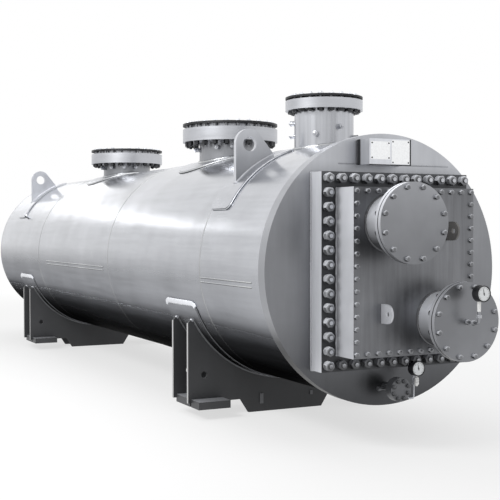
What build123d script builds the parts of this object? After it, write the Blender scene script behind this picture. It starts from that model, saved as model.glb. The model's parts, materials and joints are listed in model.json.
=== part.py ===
from build123d import *
from math import cos, radians, sin
import os

os.makedirs("parts", exist_ok=True)

# Frame: X to the right seen from the front, Y back along the vessel, Z up, in millimetres.
# The origin is on the ground under the vessel's axis, in the middle of the front saddle's first
# web. Stations are distances behind the front face of the end plate.

# Shell and ends
axis_height = 1235.0
shell_radius = 937.0
shell_wall = 20.0
front_course_length = 1065.0
second_course_length = 2265.0
third_course_length = 2655.0
rear_course_length = 2040.0
head_depth = 460.0
head_skirt = 40.0
plate_lip = 28.0
plate_thickness = 95.0

# Bundle frame, header box and its cover on the end plate
frame_width = 1214.0
frame_height = 1358.0
frame_thickness = 142.0
header_width = 984.0
header_height = 1139.0
header_wall = 62.0
header_projection = 363.0
cover_thickness = 60.0

# Two blinded nozzles on the header cover
cover_nozzle_x = 210.0
cover_nozzle_z = 328.0
cover_neck_radius = 190.0
cover_neck_wall = 12.0
cover_nozzle_reach = 289.0
blind_radius = 266.5
blind_thickness = 27.0
blind_gap = 8.0
blind_bolt_circle = 476.0
blind_bolt_count = 12
blind_bolt_hole = 28.0

# Pad eyes on the header cover
pad_eye_x = 269.0
pad_eye_z = 275.0
pad_eye_height = 130.0
pad_eye_reach = 128.0
pad_eye_thickness = 14.0
pad_eye_hole = 38.0
pad_eye_hole_reach = 74.0

# Top nozzles, front to rear: station, neck and ring radius, height of the ring's underside above
# the shell, ring thickness, gap to the cover, cover thickness, bolt count
neck_wall = 16.0
ring_bolt_inset = 44.0
ring_bolt_hole = 30.0
front_nozzle = dict(
    station=855.0, neck=232.0, ring=303.0, stand=275.0, thick=78.0, gap=13.0, cover=16.0, bolts=20
)
middle_nozzle = dict(
    station=2590.0, neck=288.0, ring=444.0, stand=161.0, thick=121.0, gap=30.0, cover=20.0, bolts=24
)
rear_nozzle = dict(
    station=5516.0, neck=276.0, ring=421.0, stand=128.0, thick=115.0, gap=28.0, cover=20.0, bolts=24
)
nozzle_pad_margin = 190.0
pad_plate = 15.0

# Lifting lugs: the hole's direction from upright, its height above the shell, the foot's direction
front_lug_station = 1015.0
rear_lug_station = 7355.0
lug_thickness = 40.0
lug_hole_angle = 31.5
lug_hole_rise = 175.0
lug_foot_angle = 23.0
lug_nose_radius = 118.0
lug_nose_turn = 130.0
lug_hole_radius = 56.0
lug_pad_width = 330.0
lug_pad_from = 16.0
lug_pad_to = 62.0
lug_pad_corner = 50.0

# Saddles: the tops of webs and pad are given by their direction below the horizontal
front_saddle_station = 1493.0
rear_saddle_station = 6686.0
web_spacing = 318.0
web_thickness = 25.0
web_inset = 57.0
web_lift = 115.0
web_shoulder_angle = 27.9
web_shoulder_cut = 26.0
web_hole_inset = 143.0
web_hole_rise = 224.0
web_hole_radius = 27.0
keel_top_half = 422.0
keel_bottom_half = 347.0
saddle_pad_width = 615.0
saddle_pad_angle = 19.5
saddle_pad_corner = 60.0
foot_inset = 27.0
foot_width = 278.0
foot_lift = 83.0
foot_height = 62.0
foot_reach = 160.0
rib_inset = 335.0
rib_thickness = 20.0

# Drain nozzle under the frame
drain_drop = 151.0
drain_projection = 198.0
drain_neck_radius = 30.0
drain_neck_bore = 24.0
drain_flange_radius = 83.0
drain_flange_thickness = 33.0
drain_bolt_circle = 127.0
drain_bolt_count = 8
drain_bolt_hole = 19.0
branch_station = 77.0
branch_reach = 88.0
branch_radius = 11.0
branch_cap_radius = 17.0
branch_cap_length = 26.0

# Gauges: the first stands in front of the lower blind, the second beside the drain nozzle
gauge_radius = 53.0
gauge_depth = 54.0
gauge_back = 8.0
gauge_stem_radius = 11.0
blind_gauge_reach = 123.0
blind_gauge_rise = 197.0
blind_pipe_radius = 9.0
blind_pipe_bend = 26.0
drain_gauge_x = 143.0
drain_gauge_rise = 140.0
drain_valve_radius = 16.0
drain_valve_length = 40.0
drain_valve_drop = 62.0
drain_tube_radius = 5.0
drain_tube_drop = 75.0
drain_tube_bend = 14.0
drain_tube_angle = 35.0

# Couplings on the necks of the top nozzles: direction from +X in degrees, height above the shell
coupling_radius = 19.0
coupling_reach = 42.0
front_couplings = ((270, 138.0), (225, 81.0), (135, 88.0), (135, 188.0), (315, 63.0))
middle_couplings = ((248, 111.0), (222, 103.0), (160, 93.0), (315, 103.0))
rear_couplings = ((270, 83.0), (245, 83.0), (215, 83.0), (180, 78.0))
boss_station = 7094.0
boss_angle = 61.3
boss_radius = 16.0
boss_reach = 28.0

# Plate bracket above the frame
bracket_left = -228.0
bracket_right = 116.0
bracket_gap = 58.0
bracket_height = 178.0
bracket_reach = 145.0
bracket_sheet = 6.0

# Sizes that follow from the ones above
plate_radius = shell_radius + plate_lip
pad_outer = shell_radius + pad_plate
cover_nozzle_projection = header_projection + cover_nozzle_reach
drain_z = frame_height / 2 + drain_drop
lug_hole_x = (shell_radius + lug_hole_rise) * sin(radians(lug_hole_angle))
lug_hole_z = (shell_radius + lug_hole_rise) * cos(radians(lug_hole_angle))
web_half_width = pad_outer - web_inset
web_bottom = axis_height - web_lift
origin_station = front_saddle_station + web_thickness / 2


def at(station):
    """Y of a point that lies this far behind the end plate's front face."""
    return station - origin_station


def facing(y, x=0.0, z=axis_height):
    """Sketch plane across the vessel, seen from the front: X right, Y up, normal to the front."""
    return Plane(origin=(x, y, z), x_dir=(1, 0, 0), z_dir=(0, -1, 0))


def level(z, x=0.0, y=0.0):
    """Horizontal sketch plane at this height."""
    return Plane(origin=(x, y, z), x_dir=(1, 0, 0), z_dir=(0, 0, 1))


def beside(x, y=0.0, z=axis_height):
    """Sketch plane along the vessel, seen from the right: Y right, Z up."""
    return Plane(origin=(x, y, z), x_dir=(0, 1, 0), z_dir=(1, 0, 0))


def keep(part, name):
    """Label a finished piece and write it."""
    part.label = name
    export_step(part, f"parts/{name}.step")


face_y = at(0.0)
header_y = face_y - header_projection
frame_y = face_y - frame_thickness
vessel_axis = Axis((0, 0, axis_height), (0, 1, 0))
top_nozzles = {"front_nozzle": front_nozzle, "middle_nozzle": middle_nozzle, "rear_nozzle": rear_nozzle}
couplings = dict(front_nozzle=front_couplings, middle_nozzle=middle_couplings, rear_nozzle=rear_couplings)

# Shell courses, each a rolled tube cut for the nozzle that stands on it
course_lengths = {
    "shell_course_front": front_course_length,
    "shell_course_second": second_course_length,
    "shell_course_third": third_course_length,
    "shell_course_rear": rear_course_length,
}
rear = plate_thickness
for name, length in course_lengths.items():
    front = rear
    rear = front + length
    with BuildPart() as course:
        with BuildSketch(facing(at(rear))):
            Circle(shell_radius)
            Circle(shell_radius - shell_wall, mode=Mode.SUBTRACT)
        extrude(amount=length)
        for nozzle in top_nozzles.values():
            if front - nozzle["neck"] < nozzle["station"] < rear + nozzle["neck"]:
                with BuildSketch(level(axis_height, y=at(nozzle["station"]))):
                    Circle(nozzle["neck"])
                extrude(amount=2 * shell_radius, mode=Mode.SUBTRACT)
    keep(course.part, name)

# Dished rear head with a short straight skirt
head_station = rear
with BuildPart() as rear_head:
    with BuildSketch(beside(0, y=at(head_station))):
        with BuildLine():
            inner_radius = shell_radius - shell_wall
            inner_depth = head_depth - shell_wall
            crown = (head_skirt, 0)
            outer = EllipticalCenterArc(crown, head_depth, shell_radius, start_angle=0, arc_size=90)
            Line(outer @ 1, (0, shell_radius))
            Line((0, shell_radius), (0, inner_radius))
            Line((0, inner_radius), (head_skirt, inner_radius))
            inner = EllipticalCenterArc(crown, inner_depth, inner_radius, start_angle=0, arc_size=90)
            Line(inner @ 0, outer @ 0)
        make_face()
    revolve(axis=vessel_axis)
keep(rear_head.part, "rear_head")

# End plate, frame and header: one rectangular way in for the bundle
opening_width = header_width - 2 * header_wall
opening_height = header_height - 2 * header_wall

with BuildPart() as end_plate:
    with BuildSketch(facing(face_y + plate_thickness)):
        Circle(plate_radius)
        Rectangle(opening_width, opening_height, mode=Mode.SUBTRACT)
    extrude(amount=plate_thickness)
keep(end_plate.part, "end_plate")

with BuildPart() as bundle_frame:
    with BuildSketch(facing(face_y)):
        Rectangle(frame_width, frame_height)
        Rectangle(opening_width, opening_height, mode=Mode.SUBTRACT)
    extrude(amount=frame_thickness)
keep(bundle_frame.part, "bundle_frame")

with BuildPart() as header_box:
    with BuildSketch(facing(frame_y)):
        Rectangle(header_width, header_height)
        Rectangle(opening_width, opening_height, mode=Mode.SUBTRACT)
    extrude(amount=header_projection - frame_thickness - cover_thickness)
keep(header_box.part, "header_box")

cover_nozzles = {
    "upper_nozzle": (-cover_nozzle_x, cover_nozzle_z),
    "lower_nozzle": (cover_nozzle_x, -cover_nozzle_z),
}

with BuildPart() as header_cover:
    with BuildSketch(facing(header_y + cover_thickness)):
        Rectangle(header_width, header_height)
        with Locations(*cover_nozzles.values()):
            Circle(cover_neck_radius, mode=Mode.SUBTRACT)
    extrude(amount=cover_thickness)
keep(header_cover.part, "header_cover")

# The two nozzles on the cover: neck through the cover, ring flange with raised face, blind flange
ring_y = face_y - cover_nozzle_projection + 2 * blind_thickness + blind_gap
raised_radius = blind_bolt_circle / 2 - blind_bolt_hole
for name, (x, z) in cover_nozzles.items():
    with BuildPart() as neck:
        with BuildSketch(facing(header_y + cover_thickness, x, axis_height + z)):
            Circle(cover_neck_radius)
            Circle(cover_neck_radius - cover_neck_wall, mode=Mode.SUBTRACT)
        extrude(amount=header_y + cover_thickness - ring_y)
    keep(neck.part, f"{name}_neck")

    with BuildPart() as ring:
        with BuildSketch(facing(ring_y, x, axis_height + z)):
            Circle(blind_radius)
            Circle(cover_neck_radius - cover_neck_wall, mode=Mode.SUBTRACT)
            with PolarLocations(blind_bolt_circle / 2, blind_bolt_count, 180 / blind_bolt_count):
                Circle(blind_bolt_hole / 2, mode=Mode.SUBTRACT)
        extrude(amount=blind_thickness)
        with BuildSketch(facing(ring_y - blind_thickness, x, axis_height + z)):
            Circle(raised_radius)
            Circle(cover_neck_radius - cover_neck_wall, mode=Mode.SUBTRACT)
        extrude(amount=blind_gap)
    keep(ring.part, f"{name}_flange")

    with BuildPart() as blind:
        with BuildSketch(facing(ring_y - blind_thickness - blind_gap, x, axis_height + z)):
            Circle(blind_radius)
            with PolarLocations(blind_bolt_circle / 2, blind_bolt_count, 180 / blind_bolt_count):
                Circle(blind_bolt_hole / 2, mode=Mode.SUBTRACT)
        extrude(amount=blind_thickness)
    keep(blind.part, f"{name}_blind")

# Pad eyes: upright plates on the cover's face, rounded at the nose
with BuildPart() as cover_pad_eyes:
    for x, z in ((-pad_eye_x, -pad_eye_z), (pad_eye_x, pad_eye_z)):
        with BuildSketch(beside(x - pad_eye_thickness / 2, header_y, axis_height + z)):
            with BuildLine():
                half = pad_eye_height / 2
                straight = pad_eye_reach - half
                Polyline((-straight, half), (0, half), (0, -half), (-straight, -half))
                ThreePointArc((-straight, -half), (-pad_eye_reach, 0), (-straight, half))
            make_face()
            with Locations((-pad_eye_hole_reach, 0)):
                Circle(pad_eye_hole / 2, mode=Mode.SUBTRACT)
        extrude(amount=pad_eye_thickness)
keep(cover_pad_eyes.part, "cover_pad_eyes")

# Top nozzles: neck set through the shell, thick ring flange, raised face and bolted cover
for name, nozzle in top_nozzles.items():
    y = at(nozzle["station"])
    under = shell_radius + nozzle["stand"]
    over = under + nozzle["thick"]
    cover_under = over + nozzle["gap"]
    bolt_radius = nozzle["ring"] - ring_bolt_inset
    raised_radius = bolt_radius - ring_bolt_hole
    with BuildPart() as neck:
        with BuildSketch(level(axis_height, y=y)):
            Circle(nozzle["neck"])
            Circle(nozzle["neck"] - neck_wall, mode=Mode.SUBTRACT)
        extrude(amount=under)
        with BuildSketch(facing(y + nozzle["ring"])):
            Circle(shell_radius - shell_wall)
        extrude(amount=2 * nozzle["ring"], mode=Mode.SUBTRACT)
        for direction, rise in couplings[name]:
            outward = (cos(radians(direction)), sin(radians(direction)), 0)
            root = nozzle["neck"] - neck_wall / 2
            start = (root * outward[0], y + root * outward[1], axis_height + shell_radius + rise)
            with BuildSketch(Plane(origin=start, z_dir=outward)):
                Circle(coupling_radius)
            extrude(amount=coupling_reach + neck_wall / 2)
    keep(neck.part, f"{name}_neck")

    with BuildPart() as ring:
        with BuildSketch(level(axis_height + under, y=y)):
            Circle(nozzle["ring"])
            with PolarLocations(bolt_radius, nozzle["bolts"]):
                Circle(ring_bolt_hole / 2, mode=Mode.SUBTRACT)
        extrude(amount=nozzle["thick"])
        with BuildSketch(level(axis_height + over, y=y)):
            Circle(raised_radius)
        extrude(amount=nozzle["gap"])
        with BuildSketch(level(axis_height + under, y=y)):
            Circle(nozzle["neck"] - neck_wall)
        extrude(amount=cover_under - under, mode=Mode.SUBTRACT)
    keep(ring.part, f"{name}_flange")

    with BuildPart() as cover:
        with BuildSketch(level(axis_height + cover_under, y=y)):
            Circle(nozzle["ring"])
            with PolarLocations(bolt_radius, nozzle["bolts"]):
                Circle(ring_bolt_hole / 2, mode=Mode.SUBTRACT)
        extrude(amount=nozzle["cover"])
    keep(cover.part, f"{name}_cover")

# Reinforcing pads rolled to the shell round the two large nozzles
for name in ("middle_nozzle", "rear_nozzle"):
    nozzle = top_nozzles[name]
    pad_radius = nozzle["neck"] + nozzle_pad_margin
    with BuildPart() as pad:
        with BuildSketch(facing(at(nozzle["station"]) + pad_radius)):
            Circle(shell_radius + pad_plate)
            Circle(shell_radius, mode=Mode.SUBTRACT)
        extrude(amount=2 * pad_radius)
        with BuildSketch(level(axis_height, y=at(nozzle["station"]))):
            Circle(pad_radius)
            Circle(nozzle["neck"], mode=Mode.SUBTRACT)
        extrude(amount=2 * shell_radius, mode=Mode.INTERSECT)
    keep(pad.part, f"{name}_pad")

# Lifting lugs on rolled pads, a pair at each end of the shell
lug_edge_x = lug_hole_x + lug_nose_radius
lug_foot_x = pad_outer * sin(radians(lug_foot_angle))
lug_foot_z = pad_outer * cos(radians(lug_foot_angle))
lug_mid_angle = (lug_pad_from + lug_pad_to) / 2
lug_pad_chord = 2 * pad_outer * sin(radians((lug_pad_to - lug_pad_from) / 2))
for name, station in (("front", front_lug_station), ("rear", rear_lug_station)):
    with BuildPart() as lugs:
        with BuildSketch(facing(at(station) + lug_thickness / 2)):
            with BuildLine():
                edge = Line((-lug_edge_x, 0), (-lug_edge_x, lug_hole_z))
                nose = CenterArc((-lug_hole_x, lug_hole_z), lug_nose_radius, 180, -lug_nose_turn)
                Line(nose @ 1, (-lug_foot_x, lug_foot_z))
                Line((-lug_foot_x, lug_foot_z), (-lug_foot_x, 0))
                Line((-lug_foot_x, 0), edge @ 0)
            make_face()
            with Locations((-lug_hole_x, lug_hole_z)):
                Circle(lug_hole_radius, mode=Mode.SUBTRACT)
            Circle(pad_outer, mode=Mode.SUBTRACT)
            mirror(about=Plane.YZ)
        extrude(amount=lug_thickness)
    keep(lugs.part, f"{name}_lifting_lugs")

    with BuildPart() as pads:
        with BuildSketch(facing(at(station) + lug_pad_width / 2)):
            Circle(pad_outer)
            Circle(shell_radius, mode=Mode.SUBTRACT)
        extrude(amount=lug_pad_width)
        outward = (-sin(radians(lug_mid_angle)), 0, cos(radians(lug_mid_angle)))
        with BuildSketch(Plane(origin=(0, at(station), axis_height), x_dir=(0, 1, 0), z_dir=outward)):
            RectangleRounded(lug_pad_width, lug_pad_chord, lug_pad_corner)
        extrude(amount=2 * shell_radius, mode=Mode.INTERSECT)
        mirror(about=Plane.YZ)
    keep(pads.part, f"{name}_lug_pads")

# Saddles: rolled wrapper pad, two webs, ribs between them and feet under the first web
saddle_pad_top = pad_outer * sin(radians(saddle_pad_angle))
web_shoulder = pad_outer * sin(radians(web_shoulder_angle))
web_hole_x = web_half_width - web_hole_inset
web_hole_z = web_hole_rise - web_bottom
foot_x = web_half_width - foot_inset - foot_width / 2
rib_x = web_half_width - rib_inset
for name, station in (("front", front_saddle_station), ("rear", rear_saddle_station)):
    first_y = at(station)
    second_y = first_y + web_spacing
    middle_y = (first_y + second_y + web_thickness) / 2
    with BuildPart() as pad:
        with BuildSketch(facing(middle_y + saddle_pad_width / 2)):
            Circle(pad_outer)
            Circle(shell_radius, mode=Mode.SUBTRACT)
        extrude(amount=saddle_pad_width)
        with BuildSketch(beside(-2 * shell_radius, middle_y, axis_height - saddle_pad_top)):
            with BuildLine():
                half = saddle_pad_width / 2
                FilletPolyline(
                    (-half, -2 * shell_radius), (-half, 0), (half, 0), (half, -2 * shell_radius),
                    radius=saddle_pad_corner,
                )
                Line((half, -2 * shell_radius), (-half, -2 * shell_radius))
            make_face()
        extrude(amount=4 * shell_radius, mode=Mode.INTERSECT)
    keep(pad.part, f"{name}_saddle_pad")

    with BuildPart() as webs:
        for y, keeled in ((first_y, True), (second_y, name == "rear")):
            with BuildSketch(facing(y + web_thickness)):
                with BuildLine():
                    shoulder = (-web_half_width, -web_shoulder - web_shoulder_cut)
                    if keeled:
                        bottom = [(-keel_top_half, -web_bottom), (-keel_bottom_half, -axis_height)]
                    else:
                        bottom = []
                    left = [(0, -web_shoulder), (web_shoulder_cut - web_half_width, -web_shoulder)]
                    left += [shoulder, (-web_half_width, -web_bottom)] + bottom
                    right = [(-px, py) for px, py in reversed(left[1:])]
                    Polyline(*left, *right, close=True)
                make_face()
                Circle(pad_outer, mode=Mode.SUBTRACT)
                with Locations((-web_hole_x, web_hole_z), (web_hole_x, web_hole_z)):
                    Circle(web_hole_radius, mode=Mode.SUBTRACT)
            extrude(amount=web_thickness)
    keep(webs.part, f"{name}_saddle_webs")

    with BuildPart() as ribs:
        for x in (-rib_x, 0, rib_x):
            with BuildSketch(beside(x - rib_thickness / 2, middle_y)):
                with Locations((0, -web_bottom / 2)):
                    Rectangle(web_spacing - web_thickness, web_bottom)
            extrude(amount=rib_thickness)
        with BuildSketch(facing(second_y)):
            Circle(pad_outer)
        extrude(amount=web_spacing, mode=Mode.SUBTRACT)
    keep(ribs.part, f"{name}_saddle_ribs")

    with BuildPart() as feet:
        with BuildSketch(level(foot_lift)):
            with Locations((-foot_x, first_y - foot_reach / 2), (foot_x, first_y - foot_reach / 2)):
                Rectangle(foot_width, foot_reach)
            with Locations((-foot_x, middle_y), (foot_x, middle_y)):
                Rectangle(foot_width, web_spacing - web_thickness)
        extrude(amount=foot_height)
    keep(feet.part, f"{name}_saddle_feet")

# Drain nozzle with its blind and a capped side branch
with BuildPart() as drain_nozzle:
    drain_ring_y = face_y - drain_projection + 2 * drain_flange_thickness
    branch_y = face_y - branch_station
    with BuildSketch(facing(face_y, 0, axis_height - drain_z)):
        Circle(drain_neck_radius)
    extrude(amount=face_y - drain_ring_y)
    with BuildSketch(facing(drain_ring_y, 0, axis_height - drain_z)):
        Circle(drain_flange_radius)
        with PolarLocations(drain_bolt_circle / 2, drain_bolt_count, 180 / drain_bolt_count):
            Circle(drain_bolt_hole / 2, mode=Mode.SUBTRACT)
    extrude(amount=drain_flange_thickness)
    with BuildSketch(facing(face_y, 0, axis_height - drain_z)):
        Circle(drain_neck_bore)
    extrude(amount=drain_projection, mode=Mode.SUBTRACT)
    with BuildSketch(beside(-branch_reach, branch_y, axis_height - drain_z)):
        Circle(branch_radius)
    extrude(amount=branch_reach - drain_neck_bore)
    with BuildSketch(beside(-branch_reach - branch_cap_length, branch_y, axis_height - drain_z)):
        RegularPolygon(branch_cap_radius, 6)
    extrude(amount=branch_cap_length)
keep(drain_nozzle.part, "drain_nozzle")

with BuildPart() as drain_blind:
    with BuildSketch(facing(drain_ring_y - drain_flange_thickness, 0, axis_height - drain_z)):
        Circle(drain_flange_radius)
        with PolarLocations(drain_bolt_circle / 2, drain_bolt_count, 180 / drain_bolt_count):
            Circle(drain_bolt_hole / 2, mode=Mode.SUBTRACT)
    extrude(amount=drain_flange_thickness)
keep(drain_blind.part, "drain_blind")

# Bracket that carries the two bare plates: a folded sheet standing off the end plate
bracket_middle = (bracket_left + bracket_right) / 2
bracket_width = bracket_right - bracket_left
bracket_low = axis_height + frame_height / 2 + bracket_gap
with BuildPart() as plate_bracket:
    with BuildSketch(level(bracket_low, bracket_middle, face_y - bracket_reach / 2)):
        Rectangle(bracket_width, bracket_reach)
        with Locations((0, bracket_sheet / 2)):
            inside = (bracket_width - 2 * bracket_sheet, bracket_reach - bracket_sheet)
            Rectangle(*inside, mode=Mode.SUBTRACT)
    extrude(amount=bracket_height)
keep(plate_bracket.part, "plate_bracket")

# Gauge in front of the lower blind: a pipe out of the blind's centre, an upward bend and the case
blind_face_y = face_y - cover_nozzle_projection
gauge_foot_z = axis_height - cover_nozzle_z
gauge_y = blind_face_y - blind_gauge_reach
with BuildPart() as blind_gauge:
    with BuildLine() as pipe:
        FilletPolyline(
            (cover_nozzle_x, blind_face_y, gauge_foot_z),
            (cover_nozzle_x, gauge_y, gauge_foot_z),
            (cover_nozzle_x, gauge_y, gauge_foot_z + blind_gauge_rise / 2),
            radius=blind_pipe_bend,
        )
    with BuildSketch(Plane(origin=pipe.line @ 0, z_dir=pipe.line % 0)):
        Circle(blind_pipe_radius)
    sweep()
    with BuildSketch(level(gauge_foot_z + blind_gauge_rise / 3, cover_nozzle_x, gauge_y)):
        Circle(gauge_stem_radius)
    extrude(amount=blind_gauge_rise * 2 / 3 - gauge_radius / 2)
    with BuildSketch(facing(gauge_y + gauge_back, cover_nozzle_x, gauge_foot_z + blind_gauge_rise)):
        Circle(gauge_radius)
    extrude(amount=gauge_depth)
keep(blind_gauge.part, "blind_gauge")

# Gauge beside the drain nozzle: case, stem, valve and a thin rigid tube into the ring flange
drain_gauge_y = drain_ring_y - drain_flange_thickness / 2
drain_center_z = axis_height - drain_z
drain_gauge_z = drain_center_z + drain_gauge_rise
valve_z = drain_gauge_z - gauge_radius - drain_valve_drop
tube_low_z = drain_center_z - drain_tube_drop
tube_turn = radians(drain_tube_angle)
with BuildPart() as drain_gauge:
    with BuildLine() as tube:
        rim = drain_flange_radius - drain_tube_radius
        FilletPolyline(
            (drain_gauge_x, drain_gauge_y, valve_z),
            (drain_gauge_x, drain_gauge_y, tube_low_z),
            (drain_gauge_x - 3 * drain_tube_bend, drain_gauge_y, tube_low_z),
            (rim * cos(tube_turn), drain_gauge_y, drain_center_z - rim * sin(tube_turn)),
            radius=drain_tube_bend,
        )
    with BuildSketch(Plane(origin=tube.line @ 0, z_dir=tube.line % 0)):
        Circle(drain_tube_radius)
    sweep()
    with BuildSketch(facing(drain_ring_y, 0, drain_center_z)):
        Circle(drain_flange_radius)
    extrude(amount=drain_flange_thickness, mode=Mode.SUBTRACT)
    with BuildSketch(level(valve_z, drain_gauge_x, drain_gauge_y)):
        RegularPolygon(drain_valve_radius, 6)
    extrude(amount=drain_valve_length)
    with BuildSketch(level(valve_z, drain_gauge_x, drain_gauge_y)):
        Circle(gauge_stem_radius)
    extrude(amount=drain_valve_drop + gauge_radius / 2)
    with BuildSketch(facing(drain_gauge_y, drain_gauge_x, drain_gauge_z)):
        Circle(gauge_radius)
    extrude(amount=gauge_depth)
keep(drain_gauge.part, "drain_gauge")

# Small capped boss on the side of the rear course
with BuildPart() as shell_boss:
    outward = (-sin(radians(boss_angle)), 0, cos(radians(boss_angle)))
    start = (shell_radius * outward[0], at(boss_station), axis_height + shell_radius * outward[2])
    with BuildSketch(Plane(origin=start, z_dir=outward)):
        Circle(boss_radius)
    extrude(amount=boss_reach)
keep(shell_boss.part, "shell_boss")
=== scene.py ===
import json
import math

import bmesh
import bpy
from mathutils import Matrix, Vector


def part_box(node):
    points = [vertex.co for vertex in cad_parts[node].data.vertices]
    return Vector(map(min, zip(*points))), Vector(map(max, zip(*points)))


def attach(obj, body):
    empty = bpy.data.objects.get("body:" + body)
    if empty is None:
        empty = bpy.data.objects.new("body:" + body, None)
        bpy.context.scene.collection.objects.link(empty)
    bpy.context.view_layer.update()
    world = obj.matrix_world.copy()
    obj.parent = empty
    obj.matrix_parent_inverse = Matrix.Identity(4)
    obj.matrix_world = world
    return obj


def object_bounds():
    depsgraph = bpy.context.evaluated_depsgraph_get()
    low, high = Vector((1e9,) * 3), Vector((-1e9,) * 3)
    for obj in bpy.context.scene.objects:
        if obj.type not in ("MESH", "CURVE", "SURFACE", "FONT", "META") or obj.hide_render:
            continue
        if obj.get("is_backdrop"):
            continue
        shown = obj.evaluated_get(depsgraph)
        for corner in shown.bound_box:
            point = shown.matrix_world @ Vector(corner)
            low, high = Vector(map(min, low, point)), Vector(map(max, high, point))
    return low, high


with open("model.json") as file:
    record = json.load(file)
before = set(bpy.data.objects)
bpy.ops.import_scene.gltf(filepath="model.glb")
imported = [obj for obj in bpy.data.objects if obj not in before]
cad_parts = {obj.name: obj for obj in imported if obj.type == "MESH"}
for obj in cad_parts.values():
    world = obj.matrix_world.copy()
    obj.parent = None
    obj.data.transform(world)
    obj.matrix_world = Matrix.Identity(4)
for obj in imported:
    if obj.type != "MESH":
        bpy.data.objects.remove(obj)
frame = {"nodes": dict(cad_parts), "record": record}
cad_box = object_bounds()
nodes = frame["nodes"]
mounts = {mount["name"]: mount for mount in frame["record"]["mounts"]}

# Half of what a saddle's pad covers of the shell, in degrees from straight down
saddle_pad_half = 70.5

# Places read from the frame, in metres
course_low, course_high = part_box("shell_course_front")
plate_low, plate_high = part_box("end_plate")
frame_low, frame_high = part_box("bundle_frame")
header_low, header_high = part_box("header_cover")
pad_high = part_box("front_saddle_pad")[1]
web_low, web_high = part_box("front_saddle_webs")
shell_radius = course_high.x
pad_radius = pad_high.x / math.cos(math.radians(90 - saddle_pad_half))
axis_z = (course_low.z + course_high.z) / 2
plate_y = plate_low.y

# The way a fastener looks: its own Z is turned to the front, the back, up or down
FRONT = Matrix.Rotation(math.radians(90), 4, "X")
BACK = Matrix.Rotation(math.radians(-90), 4, "X")
UP = Matrix.Identity(4)
DOWN = Matrix.Rotation(math.radians(180), 4, "X")


def tree_node(tree, kind, inputs=None, **settings):
    """Adds a shader node, sets its fields and fills or links its inputs."""
    made = tree.nodes.new(kind)
    for key, value in settings.items():
        setattr(made, key, value)
    for key, value in (inputs or {}).items():
        if isinstance(value, bpy.types.NodeSocket):
            tree.links.new(value, made.inputs[key])
        else:
            made.inputs[key].default_value = value
    return made


def ramp(tree, factor, stops):
    """Colour ramp through (position, grey or colour) stops."""
    made = tree_node(tree, "ShaderNodeValToRGB", {"Fac": factor})
    elements = made.color_ramp.elements
    while len(elements) < len(stops):
        elements.new(0.5)
    for element, (position, colour) in zip(elements, stops):
        element.position = position
        if isinstance(colour, (int, float)):
            colour = (colour, colour, colour)
        element.color = (*colour, 1)
    return made.outputs["Color"]


def noise(tree, point, stretch, scale=1.0, detail=3.0, rough=0.5):
    """Noise between 0 and 1, stretched by a scale along each axis."""
    mapping = tree_node(tree, "ShaderNodeMapping", {"Vector": point, "Scale": stretch})
    made = tree_node(
        tree,
        "ShaderNodeTexNoise",
        {"Vector": mapping.outputs["Vector"], "Scale": scale, "Detail": detail, "Roughness": rough},
    )
    return made.outputs["Fac"]


def multiply(tree, first, second):
    """Product of two colours."""
    made = tree_node(
        tree,
        "ShaderNodeMix",
        {"Factor": 1.0, 6: first, 7: second},
        data_type="RGBA",
        blend_type="MULTIPLY",
    )
    return made.outputs[2]


def mix_colour(tree, factor, first, second):
    """First colour at factor 0 and second at 1."""
    made = tree_node(tree, "ShaderNodeMix", {"Factor": factor, 6: first, 7: second}, data_type="RGBA")
    return made.outputs[2]


def spread(tree, value, low, high, start=0.0, end=1.0):
    """Maps a value between start and end to low to high."""
    made = tree_node(
        tree,
        "ShaderNodeMapRange",
        {"Value": value, "From Min": start, "From Max": end, "To Min": low, "To Max": high},
    )
    return made.outputs["Result"]


def part_of(tree, vector, axis):
    """One component of a vector, named by its axis."""
    return tree_node(tree, "ShaderNodeSeparateXYZ", {"Vector": vector}).outputs[axis]


def size_of(tree, value):
    """Value without its sign."""
    return tree_node(tree, "ShaderNodeMath", {0: value}, operation="ABSOLUTE").outputs[0]


def tilt_of(tree, normal):
    """Height of a normal, from 0 for straight down to 1 for straight up."""
    return spread(tree, part_of(tree, normal, "Z"), 0, 1, -1, 1)


def new_material(name):
    """Material with a bare Principled shader, and the surface's point in the part's frame."""
    material = bpy.data.materials.new(name)
    material.use_nodes = True
    tree = material.node_tree
    tree.nodes.clear()
    output = tree_node(tree, "ShaderNodeOutputMaterial")
    shader = tree_node(tree, "ShaderNodeBsdfPrincipled")
    tree.links.new(shader.outputs["BSDF"], output.inputs["Surface"])
    point = tree_node(tree, "ShaderNodeTexCoord").outputs["Object"]
    return material, tree, shader, point


STEEL_TINT = (0.925, 0.945, 1.0)
UNSTRETCHED = (1, 1, 1)
CLOUD_SCALE = 1.3
# How much of its grazing shine a surface keeps, dimmed on what looks down as painted shade,
# and how much it is blurred, by its normal's height
GRAZING_SHADE = [(0.25, 0.05), (0.42, 0.45), (0.55, 1.0)]
BLUR_SHADE = [(0.3, 0.3), (0.5, 0.0)]
# A surface is all side where its normal's part along the vessel is under this
SIDE_LIMIT = 0.88
# Lengths in metres: the height that the ramps over height end at, the width over which a rim's
# painted highlight sets in, and the relief of the brushing
TALLEST = 2.6
RIM_FADE = 0.001
GRAIN_RELIEF = 0.0006


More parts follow.
